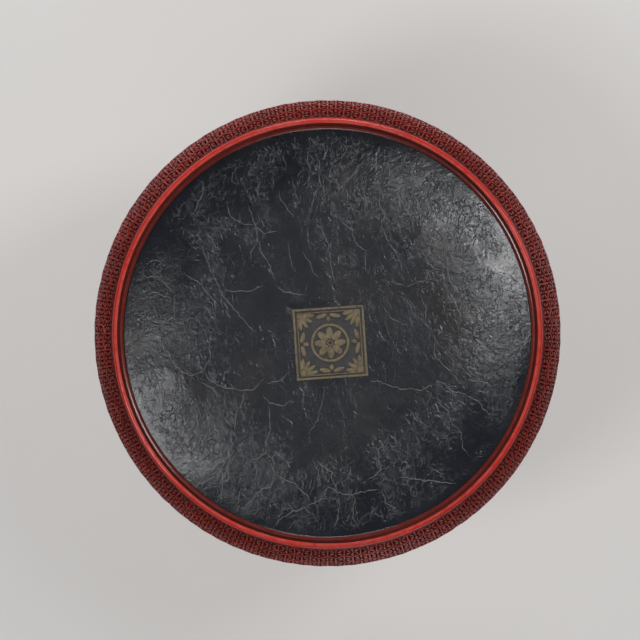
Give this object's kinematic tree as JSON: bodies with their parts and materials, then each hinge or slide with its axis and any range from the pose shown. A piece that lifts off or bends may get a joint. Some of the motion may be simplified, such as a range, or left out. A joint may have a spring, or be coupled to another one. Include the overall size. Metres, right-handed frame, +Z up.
{
  "type": "seal paste box",
  "caption": "Round carved red lacquer box with a lift-off lid, a smooth foot ring, a black crackled underside and a porcelain dish of seal paste.",
  "frame": {"origin": "centre of the standing face of the foot, at the bottom of the box", "axes": "+Z up along the box's axis, from the foot towards the lid"},
  "size_m": [0.08, 0.08, 0.038],
  "materials": {
    "core_wood": "matt turned wood",
    "carved_red_lacquer": "carved lacquer, satin, with dull recesses",
    "smooth_red_lacquer": "smooth polished lacquer",
    "bead_red_lacquer": "smooth lacquer, worn brown on its crest",
    "collar_lacquer": "polished black lacquer",
    "black_lining_lacquer": "satin black lacquer",
    "black_crackled_lacquer": "aged black lacquer, fine crackle, soft gloss",
    "gilt": "worn gilding",
    "porcelain": "clear glaze",
    "cinnabar_paste": "oily fibrous paste"
  },
  "bodies": {
    "base": {"base_hoop": "core_wood", "base_board": "core_wood", "base_carved_coat": "carved_red_lacquer", "base_mouth_band": "smooth_red_lacquer", "locating_collar": "collar_lacquer", "base_lining": "black_lining_lacquer", "foot_ring": "smooth_red_lacquer", "foot_bead": "bead_red_lacquer", "underside_lacquer": "black_crackled_lacquer", "gilt_inlay": "gilt"},
    "lid": {"lid_hoop": "core_wood", "lid_board": "core_wood", "lid_carved_coat": "carved_red_lacquer", "lid_mouth_band": "smooth_red_lacquer", "lid_lining": "black_lining_lacquer", "lid_top_moulding": "smooth_red_lacquer", "lid_carved_panel": "carved_red_lacquer"},
    "dish": {"paste_dish": "porcelain", "seal_paste": "cinnabar_paste"}
  },
  "joints": [
    {"name": "lid_lift", "type": "slide", "parent": "base", "child": "lid", "axis": [0, 0, 1], "range_m": [0, 0.06]},
    {"name": "dish_lift", "type": "slide", "parent": "base", "child": "dish", "axis": [0, 0, 1], "range_m": [0, 0.024]}
  ],
  "couplings": [
    {"joint": "dish_lift", "follows": "lid_lift", "ratio": 0.4}
  ]
}
